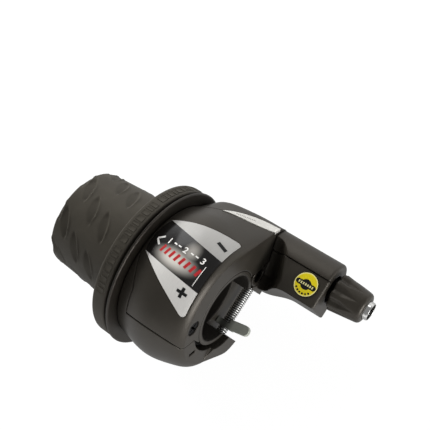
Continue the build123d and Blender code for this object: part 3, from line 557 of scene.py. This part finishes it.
class SHIFTER_OT_housing(bpy.types.Operator):
    """Gives the bracket, the cover, the arm's cap, the barrel and the hidden pieces their plastics"""
    bl_idname = "shifter.housing"
    bl_label = "Dress the housing"

    def execute(self, context):
        props = context.scene.shifter_housing
        edge, grain = props.edge, props.grain
        # Radius of the housing's bore, inside which the shell's colour is darkened by painted shade
        bore = 11.4 * MM
        shell = moulded_plastic("abs_moulded_satin", tuple(props.plastic), edge, grain, rough=0.4,
                                bore=bore)
        for name in ("base_bracket", "upper_cover", "arm_cap"):
            dress(name, shell)
        barrel = moulded_plastic("acetal_moulded", tuple(props.barrel), edge, grain, rough=0.4)
        dress("grip_barrel", barrel)
        inner = moulded_plastic("acetal_natural", tuple(props.inner), edge, grain, rough=0.45)
        for name in ("cable_drum", "cable_guide", "friction_disc"):
            dress(name, inner)
        return {"FINISHED"}


class SHIFTER_OT_grip(bpy.types.Operator):
    """Makes the rubber grip with its raised ring and its scooped tread pockets"""
    bl_idname = "shifter.grip"
    bl_label = "Make the rubber grip"

    def execute(self, context):
        props = context.scene.shifter_grip
        low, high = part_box("rubber_grip")
        end_x, ring_x = low.x, high.x
        root_x = ring_x - props.ring_width
        inner, ring = props.inner_radius, props.ring_radius
        corners = [
            (end_x, inner), (end_x, props.end_radius), (root_x, props.root_radius), (root_x, ring),
            (ring_x, ring), (ring_x, inner),
        ]
        outline = soften(corners, [0.0, 0.7 * MM, 0.8 * MM, 0.7 * MM, 0.7 * MM, 0.0])
        bm = turn_outline(divided(outline, 0.3 * MM, end_x, root_x), steps=360)
        self.scoop_treads(bm, props, end_x, root_x)
        material = grip_rubber(tuple(props.rubber), edge=0.25 * MM)
        piece = finish_mesh(bm, "grip_rubber_sleeve", material, sharp=55.0)
        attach(piece, "grip")
        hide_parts("rubber_grip")
        return {"FINISHED"}

    def scoop_treads(self, bm, props, end_x, root_x):
        """Sinks rows of slanted leaf-shaped pockets, steep on one side, where they have a soft lip."""
        half, bulge = props.tread_length / 2, props.tread_width / 2
        cos_s, sin_s = math.cos(props.tread_slant), math.sin(props.tread_slant)
        pitch = 2 * math.pi / props.tread_count
        slope = (props.end_radius - props.root_radius) / (end_x - root_x)
        lip_height, lip_width = 0.25 * MM, 0.45 * MM
        steep_share, run_in_share = 0.18, 0.5
        ring_gap, skin_depth = 0.5 * MM, 0.4 * MM
        for vert in bm.verts:
            x, radius = vert.co.x, math.hypot(vert.co.y, vert.co.z)
            skin = props.root_radius + slope * (x - root_x)
            if x > root_x - ring_gap or radius < skin - skin_depth:
                continue
            angle = math.atan2(-vert.co.y, vert.co.z)
            dip = lip = 0.0
            for offset, turn in TREAD_ROWS:
                run = x - (end_x + offset * MM)
                across = (angle / pitch - turn + 0.5) % 1.0 - 0.5
                around = -across * pitch * skin
                along = run * cos_s + around * sin_s
                beside = -run * sin_s + around * cos_s
                if abs(along) >= half:
                    continue
                width = bulge * (1 - (along / half) ** 2)
                lip = max(lip, lip_height * width / bulge * math.exp(-((beside + width) / lip_width) ** 2))
                if abs(beside) < width:
                    share = (1 - beside / width) / 2
                    bank = min(1.0, (1 - share) / steep_share)
                    run_in = min(1.0, width / (run_in_share * bulge))
                    dip = max(dip, props.tread_depth * share * bank * run_in)
            if dip or lip:
                scale = (radius - dip + lip) / radius
                vert.co.y *= scale
                vert.co.z *= scale


class SHIFTER_OT_ring_marks(bpy.types.Operator):
    """Raises two runs of small hollow pads on the grip's ring"""
    bl_idname = "shifter.ring_marks"
    bl_label = "Make the ring's marks"

    def execute(self, context):
        props = context.scene.shifter_grip
        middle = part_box("rubber_grip")[1].x - props.ring_width / 2
        widths = (2.0, 1.1, 1.6, 1.1, 2.0, 1.6, 1.1, 1.6)
        gap, space, run = 0.45 * MM, 1.6 * MM, 54.0 * MM
        bm = bmesh.new()
        for start in (math.radians(38), math.radians(218)):
            spot, k = 0.0, 0
            while spot < run:
                width = widths[k % len(widths)] * MM
                self.pad(bm, middle, width, start - (spot + width / 2) / props.ring_radius, props)
                k += 1
                spot += width + (gap if k % len(widths) else space)
        rubber = bpy.data.materials["thermoplastic_rubber_moulded"]
        piece = finish_mesh(bm, "grip_ring_marks", rubber, sharp=30.0)
        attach(piece, "grip")
        return {"FINISHED"}

    def pad(self, bm, middle, width, angle, props):
        """One bevelled pad with a sunk middle, set on the ring at an angle about the bar."""
        sunk, rim, long, spare = 0.3 * MM, 0.36 * MM, 2.5 * MM, 0.01 * MM
        tall = props.mark_height + sunk
        middle_r = props.ring_radius + props.mark_height - tall / 2 - spare
        made = bmesh.ops.create_cube(bm, size=1.0)["verts"]
        bmesh.ops.scale(bm, vec=(long, width, tall), verts=made)
        bmesh.ops.translate(bm, vec=(middle, 0, middle_r), verts=made)
        edges = list({e for v in made for e in v.link_edges})
        bevelled = bmesh.ops.bevel(bm, geom=edges, offset=0.06 * MM, affect="EDGES", segments=2,
                                   profile=0.5, material=-1)
        verts = {v for f in bevelled["faces"] for v in f.verts}
        faces = {f for v in verts for f in v.link_faces}
        top = max(faces, key=lambda f: f.calc_center_median().z)
        bmesh.ops.inset_individual(bm, faces=[top], thickness=rim)
        bmesh.ops.translate(bm, vec=(0, 0, -0.9 * props.mark_height), verts=top.verts)
        verts.update(top.verts)
        bmesh.ops.rotate(bm, cent=(0, 0, 0), matrix=Matrix.Rotation(angle, 3, "X"), verts=list(verts))


class SHIFTER_OT_knob(bpy.types.Operator):
    """Makes the adjuster's tapered knob with its soft flutes"""
    bl_idname = "shifter.knob"
    bl_label = "Make the adjuster knob"

    def execute(self, context):
        low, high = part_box("adjuster_ferrule")
        axis = Vector((0, (low.y + high.y) / 2, (low.z + high.z) / 2))
        low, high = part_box("adjuster_knob")
        start, end = low.x, high.x
        root, tip, bore, stem = 6.1 * MM, 4.8 * MM, 2.96 * MM, 3.05 * MM
        step = start + 3.4 * MM
        corners = [(start, stem), (start, root), (end, tip), (end, bore), (step, bore), (step, stem)]
        outline = soften(corners, [0.0, 0.7 * MM, 1.3 * MM, 0.3 * MM, 0.0, 0.0])
        bm = turn_outline(divided(outline, 0.4 * MM, start, end), steps=270)
        self.sink_flutes(bm, start, end, root, tip)
        bmesh.ops.translate(bm, vec=axis, verts=bm.verts)
        props = context.scene.shifter_housing
        material = moulded_plastic("abs_moulded_knob", tuple(props.plastic), edge=0.2 * MM,
                                   grain=props.grain, rough=0.36)
        piece = finish_mesh(bm, "knob_fluted", material, sharp=50.0)
        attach(piece, "knob")
        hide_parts("adjuster_knob")
        return {"FINISHED"}

    def sink_flutes(self, bm, start, end, root, tip):
        """Sinks nine flutes that run out to a point before the tip."""
        flutes, deep, half_width = 9, 0.8 * MM, 1.75 * MM
        run_out = start + 0.8 * (end - start)
        for vert in bm.verts:
            x, radius = vert.co.x, math.hypot(vert.co.y, vert.co.z)
            skin = root + (tip - root) * (x - start) / (end - start)
            if radius < skin - 1.0 * MM or x > run_out:
                continue
            angle = math.atan2(vert.co.y, vert.co.z) * flutes / (2 * math.pi)
            off = abs((angle + 0.5) % 1.0 - 0.5) * 2 * math.pi / flutes * skin
            share = min(1.0, 1.6 * (run_out - x) / (run_out - start))
            width = half_width * share
            if off < width:
                dip = deep * share * (0.5 + 0.5 * math.cos(math.pi * off / width))
                scale = (radius - dip) / radius
                vert.co.y *= scale
                vert.co.z *= scale


class SHIFTER_OT_clamp_screw(bpy.types.Operator):
    """Makes the clamp screw with its cut thread and its socket head"""
    bl_idname = "shifter.clamp_screw"
    bl_label = "Make the clamp screw"

    def execute(self, context):
        props = context.scene.shifter_metal
        low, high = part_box("clamp_screw")
        centre = Vector(((low.x + high.x) / 2, 0, (low.z + high.z) / 2))
        head_r = (high.x - low.x) / 2
        head_length, crest = 3.2 * MM, 1.75 * MM
        head_top = low.y + head_length
        bm = self.head(low.y, head_top, head_r)
        self.thread(bm, head_top, high.y, crest, props.pitch, props.thread_depth)
        bmesh.ops.translate(bm, vec=centre, verts=bm.verts)
        # Radii over which the painted shade in the thread's roots fades out
        roots = (crest - props.thread_depth, crest)
        material = bright_metal("steel_nickel_plated", tuple(props.bright), rough=0.4, edge=0.05 * MM,
                                roots=roots, centre=centre)
        piece = finish_mesh(bm, "clamp_screw_threaded", material, sharp=30.0)
        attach(piece, "base")
        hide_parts("clamp_screw")
        return {"FINISHED"}

    def head(self, start, end, radius):
        """Round head with a socket, about Y."""
        edge, half_key, deep = 0.3 * MM, 1.5 * MM, 1.6 * MM
        socket_r = half_key / math.cos(math.pi / 6)
        bm = bmesh.new()
        self.shaft(bm, start, end, radius, segments=48)
        rim = [e for e in bm.edges if all(abs(v.co.y - start) < 0.01 * MM for v in e.verts)]
        bmesh.ops.bevel(bm, geom=rim, offset=edge, affect="EDGES", segments=3, profile=0.5, material=-1)
        face = min(bm.faces, key=lambda f: f.calc_center_median().y)
        bmesh.ops.inset_individual(bm, faces=[face], thickness=radius - edge - socket_r)
        bmesh.ops.translate(bm, vec=(0, deep, 0), verts=face.verts)
        return bm

    def shaft(self, bm, start, end, radius, segments):
        """Plain cylinder about Y."""
        middle = Matrix.Translation((0, (start + end) / 2, 0))
        bmesh.ops.create_cone(bm, cap_ends=True, segments=segments, radius1=radius, radius2=radius,
                              depth=end - start, matrix=middle @ Matrix.Rotation(math.radians(-90), 4, "X"))

    def thread(self, bm, start, end, crest, pitch, depth):
        """Helical thread about Y: one tooth's outline spun forwards, turn after turn."""
        root = crest - depth
        turns = math.floor((end - start) / pitch) - 1
        steps = 24
        outline = ((0.0, root), (0.08, root), (0.46, crest), (0.62, crest), (1.0, root))
        verts = [bm.verts.new((0, start + share * pitch, r)) for share, r in outline]
        edges = [bm.edges.new(pair) for pair in zip(verts, verts[1:])]
        bmesh.ops.spin(bm, geom=verts + edges, cent=(0, 0, 0), axis=(0, 1, 0), dvec=(0, pitch / steps, 0),
                       angle=2 * math.pi * turns, steps=steps * turns)
        self.shaft(bm, start, end, root, segments=32)


class SHIFTER_OT_label(bpy.types.Operator):
    """Prints the label, the foil strip and the round sticker"""
    bl_idname = "shifter.label"
    bl_label = "Print the label and stickers"

    def execute(self, context):
        props = context.scene.shifter_label
        dress("label_plate", printed_label(props))
        dress("shoulder_strip", strip_foil(props))
        low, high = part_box("round_sticker")
        centre = (low + high) / 2
        dress("round_sticker", round_print(props, centre, (high.x - low.x) / 2))
        return {"FINISHED"}


class SHIFTER_OT_label_marks(bpy.types.Operator):
    """Prints the plus, the minus, the pointer, the numbers and the scale bars on the label"""
    bl_idname = "shifter.label_marks"
    bl_label = "Print the label's marks"

    def execute(self, context):
        props = context.scene.shifter_label
        tree = surface_of("label_plate")
        black = ink("screen_ink_black", props.ink)
        white = ink("screen_ink_white", props.white)
        red = ink("screen_ink_red", props.red)
        tall = props.print_height
        signs = bmesh.new()
        for sign_bar in SIGN_BARS:
            self.bar(signs, *sign_bar, tall)
        self.place(signs, tree, "label_signs", black)
        scale = bmesh.new()
        for k in range(8):
            middle = (SCALE_FIRST[0] + SCALE_STEP[0] * k, SCALE_FIRST[1] + SCALE_STEP[1] * k)
            self.bar(scale, middle, 0.8, 2.3, -14, tall)
        self.place(scale, tree, "label_scale", red)
        rule = bmesh.new()
        for rule_bar in RULE_BARS:
            self.bar(rule, *rule_bar, tall)
        self.place(rule, tree, "label_rule", white)
        for k, number in enumerate("123"):
            corner = (NUMBER_FIRST[0] + NUMBER_STEP * k, NUMBER_FIRST[1])
            self.number(number, corner, NUMBER_SIZE * MM, tall, tree, white)
        return {"FINISHED"}

    def bar(self, bm, centre, wide, high, turn, tall):
        """One flat bar in the label's plan, in millimetres, cut across so that it can bend."""
        cuts = (6, 1) if wide > high else (1, 6)
        spot = Matrix.Translation((centre[0] * MM, centre[1] * MM, -tall))
        size = Matrix.Diagonal((wide * MM, high * MM, 1, 1))
        made = bmesh.ops.create_grid(bm, x_segments=cuts[0], y_segments=cuts[1], size=0.5,
                                     matrix=spot @ Matrix.Rotation(math.radians(turn), 4, "Z") @ size)
        raise_film(bm, list({f for v in made["verts"] for f in v.link_faces}), 2 * tall)

    def number(self, text, corner, size, tall, tree, material):
        """One number in the plain built-in face, made a mesh and laid on the label."""
        curve = bpy.data.curves.new("number", "FONT")
        curve.body = text
        curve.size = size
        curve.extrude = tall
        curve.offset = 0.04 * MM
        holder = bpy.data.objects.new("number", curve)
        bpy.context.scene.collection.objects.link(holder)
        bpy.context.view_layer.update()
        mesh = bpy.data.meshes.new_from_object(holder.evaluated_get(bpy.context.evaluated_depsgraph_get()))
        bpy.data.objects.remove(holder)
        bpy.data.curves.remove(curve)
        bm = bmesh.new()
        bm.from_mesh(mesh)
        bpy.data.meshes.remove(mesh)
        bmesh.ops.translate(bm, vec=(corner[0] * MM, corner[1] * MM, 0), verts=bm.verts)
        self.place(bm, tree, "label_number_" + text, material)

    def place(self, bm, tree, name, material):
        """Lays the marks on the label and lets them ride with the housing."""
        lay_on(bm, tree)
        piece = finish_mesh(bm, name, material, sharp=30.0)
        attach(piece, "base")


class SHIFTER_OT_sticker_motif(bpy.types.Operator):
    """Prints a plain badge with dashes, a round-ended bar over a disc, and a row of dots"""
    bl_idname = "shifter.sticker_motif"
    bl_label = "Print the sticker's motif"

    def execute(self, context):
        low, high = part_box("round_sticker")
        centre = Vector(((low.x + high.x) / 2, (low.y + high.y) / 2, high.z))
        props = context.scene.shifter_label
        bm = bmesh.new()
        badge = self.badge(half=3.3 * MM, high=0.78 * MM, disc=1.6 * MM)
        bm.faces.new([bm.verts.new((*point, 0)) for point in badge])
        dots_r, first_dot, dot_step = 2.85 * MM, -138, 19
        for k in range(6):
            angle = math.radians(first_dot + dot_step * k)
            spot = Matrix.Translation((dots_r * math.cos(angle), dots_r * math.sin(angle), 0))
            bmesh.ops.create_circle(bm, cap_ends=True, segments=14, radius=0.3 * MM, matrix=spot)
        self.lay(bm, centre, props.print_height, "sticker_motif", bpy.data.materials["screen_ink_black"])
        dashes = bmesh.new()
        size = Matrix.Diagonal((0.42 * MM, 0.72 * MM, 1, 1))
        for k in range(7):
            spot = Matrix.Translation(((k - 3) * 0.74 * MM, 0, 0))
            bmesh.ops.create_grid(dashes, x_segments=1, y_segments=1, size=0.5, matrix=spot @ size)
        cream = ink("screen_ink_cream", paint("#cfc98f"))
        self.lay(dashes, centre, 1.5 * props.print_height, "sticker_dashes", cream)
        return {"FINISHED"}

    def badge(self, half, high, disc):
        """Outline of a round-ended bar joined to a disc at its middle."""
        points = []
        meet = math.asin(high / disc)
        for side in (0, math.pi):
            for k in range(13):
                angle = side - math.pi / 2 + math.pi * k / 12
                end = math.cos(side) * (half - high)
                points.append((end + high * math.cos(angle), high * math.sin(angle)))
            for k in range(17):
                angle = side + meet + (math.pi - 2 * meet) * k / 16
                points.append((disc * math.cos(angle), disc * math.sin(angle)))
        return points

    def lay(self, bm, centre, tall, name, material):
        """Makes the flat motif a thin film on the sticker."""
        raise_film(bm, bm.faces[:], tall)
        bmesh.ops.translate(bm, vec=centre, verts=bm.verts)
        piece = finish_mesh(bm, name, material, sharp=30.0)
        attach(piece, "base")


class SHIFTER_OT_metal(bpy.types.Operator):
    """Gives the plated, bright and blackened pieces their metals; the bush and barrel are blackened as
    painted shade
    """
    bl_idname = "shifter.metal"
    bl_label = "Dress the metal"

    def execute(self, context):
        props = context.scene.shifter_metal
        low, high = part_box("clamp_screw")
        screw = (low + high) / 2
        plated = zinc_plate("steel_zinc_plated", tuple(props.plated), edge=0.3 * MM, screw=screw)
        for name in ("clamp_plate", "clamp_nut"):
            dress(name, plated)
        spring = zinc_plate("spring_steel_dark_zinc", tuple(props.spring), edge=0.1 * MM, screw=screw)
        for name in ("disc_spring", "thrust_washer", "retaining_ring"):
            dress(name, spring)
        bright = bright_metal("steel_bright_ferrule", tuple(props.bright), rough=0.16, edge=0.15 * MM)
        dress("adjuster_ferrule", bright)
        black = bright_metal("steel_black_and_painted_shade", tuple(props.black), rough=0.45, edge=0.1 * MM)
        # Black steel: the band and cover screws are black; the bush and barrel are painted black as shade
        # in the gap between the arm and the knob
        for name in ("clamp_band", "cover_screws", "adjuster_bush", "adjuster_barrel"):
            dress(name, black)
        return {"FINISHED"}


class SHIFTER_OT_stage(bpy.types.Operator):
    """Sets the pale floor, the soft lights and the camera"""
    bl_idname = "shifter.stage"
    bl_label = "Set the stage"

    def execute(self, context):
        props = context.scene.shifter_stage
        self.floor(props)
        self.sky(context.scene, props)
        self.lamp("key_softbox", props.key_power, *KEY_LIGHT)
        self.lamp("top_softbox", props.top_power, *TOP_LIGHT)
        self.lamp("fill_softbox", props.fill_power, *FILL_LIGHT)
        self.camera(context.scene)
        context.scene.view_settings.view_transform = "Standard"
        return {"FINISHED"}

    def floor(self, props):
        """Pale floor just under the part, white to the camera but for a faint shadow."""
        bm = bmesh.new()
        bmesh.ops.create_grid(bm, x_segments=1, y_segments=1, size=props.floor_size / 2)
        drop = 0.2 * MM
        bmesh.ops.translate(bm, vec=(0, 0, CAD_BOX[0][2] - drop), verts=bm.verts)
        material, tree, place = blank("pale_studio_floor")
        rays = add(tree, "LightPath")
        seen = seen_by(tree, rays, "Is Camera Ray", "Is Glossy Ray", "Is Transmission Ray")
        plain = add(tree, "BsdfDiffuse", Color=tuple(props.floor))
        faint = add(tree, "BsdfDiffuse", Color=(0.08, 0.08, 0.08, 1.0))
        # Painted shadow: in mirror images the floor's glow is dimmed close to the part, standing in for the
        # shade that the part casts there
        close, far, dim, full = 0.04, 0.2, 0.45, 0.96
        reach = add(tree, "VectorMath", {"operation": "LENGTH"}, _0=place)
        painted_contact_shadow = add(tree, "MapRange", Value=reach.outputs["Value"], From_Min=close, From_Max=far, To_Min=dim,
                   To_Max=full)
        level = add(tree, "Math", {"operation": "MAXIMUM"}, _0=painted_contact_shadow.outputs[0],
                    _1=rays.outputs["Is Camera Ray"])
        level = add(tree, "Math", {"operation": "MINIMUM"}, _0=level.outputs[0], _1=full)
        white = add(tree, "Emission", Color=(1, 1, 1, 1), Strength=level.outputs[0])
        shown = add(tree, "AddShader", _0=faint.outputs[0], _1=white.outputs[0])
        mixed = add(tree, "MixShader", Fac=seen, _1=plain.outputs[0], _2=shown.outputs[0])
        show(tree, mixed.outputs[0])
        piece = finish_mesh(bm, "studio_floor", material)

    def sky(self, scene, props):
        """Sky that is bright low down and dim overhead, and white where it is seen."""
        world = bpy.data.worlds.new("studio_sky")
        scene.world = world
        world.use_nodes = True
        tree = world.node_tree
        tree.nodes.clear()
        rays = add(tree, "LightPath")
        seen = seen_by(tree, rays, "Is Camera Ray", "Is Transmission Ray")
        height = add(tree, "SeparateXYZ", Vector=add(tree, "TexCoord").outputs["Generated"])
        sky = add(tree, "MapRange", Value=height.outputs["Z"], From_Min=0.1, From_Max=0.5,
                  To_Min=props.horizon, To_Max=props.zenith)
        level = add(tree, "Mix", {"data_type": "FLOAT"}, _0=seen, _2=sky.outputs[0], _3=1.0)
        light = add(tree, "Background", Color=(1, 1, 1, 1), Strength=level.outputs[0])
        add(tree, "OutputWorld", Surface=light.outputs[0])

    def lamp(self, name, power, place, target, size, mirrored):
        """Square soft light that faces a point, and may be left out of mirror images."""
        light = bpy.data.lights.new(name, "AREA")
        light.shape = "SQUARE"
        light.size = size
        light.energy = power
        lamp = bpy.data.objects.new(name, light)
        bpy.context.scene.collection.objects.link(lamp)
        lamp.visible_glossy = mirrored
        lamp.location = place
        lamp.rotation_euler = (Vector(target) - Vector(place)).to_track_quat("-Z", "Y").to_euler()

    def camera(self, scene):
        """Camera at the photograph's angle."""
        data = bpy.data.cameras.new("photo_camera")
        data.sensor_width = PHOTO_SENSOR
        data.lens = PHOTO_LENS
        data.clip_start = 0.01
        camera = bpy.data.objects.new("photo_camera", data)
        scene.collection.objects.link(camera)
        turn = Matrix((PHOTO_RIGHT, PHOTO_UP, PHOTO_BACK)).transposed()
        camera.matrix_world = Matrix.Translation(PHOTO_PLACE) @ turn.to_4x4()
        scene.camera = camera


class SHIFTER_PT_panel(bpy.types.Panel):
    """Lists the shifter's steps and settings"""
    bl_idname = "SHIFTER_PT_panel"
    bl_label = "Twist Grip Shifter"
    bl_space_type = "VIEW_3D"
    bl_region_type = "UI"
    bl_category = "Shifter"

    def draw(self, context):
        for step in STEPS:
            self.layout.operator(step.bl_idname)
        for holder in SETTINGS:
            box = self.layout.box()
            group = getattr(context.scene, holder)
            for name in group.bl_rna.properties.keys():
                if name not in ("rna_type", "name"):
                    box.prop(group, name)


SETTINGS = {
    "shifter_housing": ShifterHousing,
    "shifter_grip": ShifterGrip,
    "shifter_label": ShifterLabel,
    "shifter_metal": ShifterMetal,
    "shifter_stage": ShifterStage,
}
STEPS = (
    SHIFTER_OT_housing,
    SHIFTER_OT_grip,
    SHIFTER_OT_ring_marks,
    SHIFTER_OT_knob,
    SHIFTER_OT_clamp_screw,
    SHIFTER_OT_label,
    SHIFTER_OT_label_marks,
    SHIFTER_OT_sticker_motif,
    SHIFTER_OT_metal,
    SHIFTER_OT_stage,
)


def register():
    """Registers the settings, the steps and the panel."""
    for holder, group in SETTINGS.items():
        bpy.utils.register_class(group)
        setattr(bpy.types.Scene, holder, PointerProperty(type=group))
    for cls in (*STEPS, SHIFTER_PT_panel):
        bpy.utils.register_class(cls)


def unregister():
    """Takes the panel, the steps and the settings away again."""
    for cls in (SHIFTER_PT_panel, *reversed(STEPS)):
        bpy.utils.unregister_class(cls)
    for holder, group in SETTINGS.items():
        delattr(bpy.types.Scene, holder)
        bpy.utils.unregister_class(group)


def main():
    """Registers the add-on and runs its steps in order."""
    register()
    bpy.ops.shifter.housing()
    bpy.ops.shifter.grip()
    bpy.ops.shifter.ring_marks()
    bpy.ops.shifter.knob()
    bpy.ops.shifter.clamp_screw()
    bpy.ops.shifter.label()
    bpy.ops.shifter.label_marks()
    bpy.ops.shifter.sticker_motif()
    bpy.ops.shifter.metal()
    bpy.ops.shifter.stage()


if __name__ == "__main__":
    main()
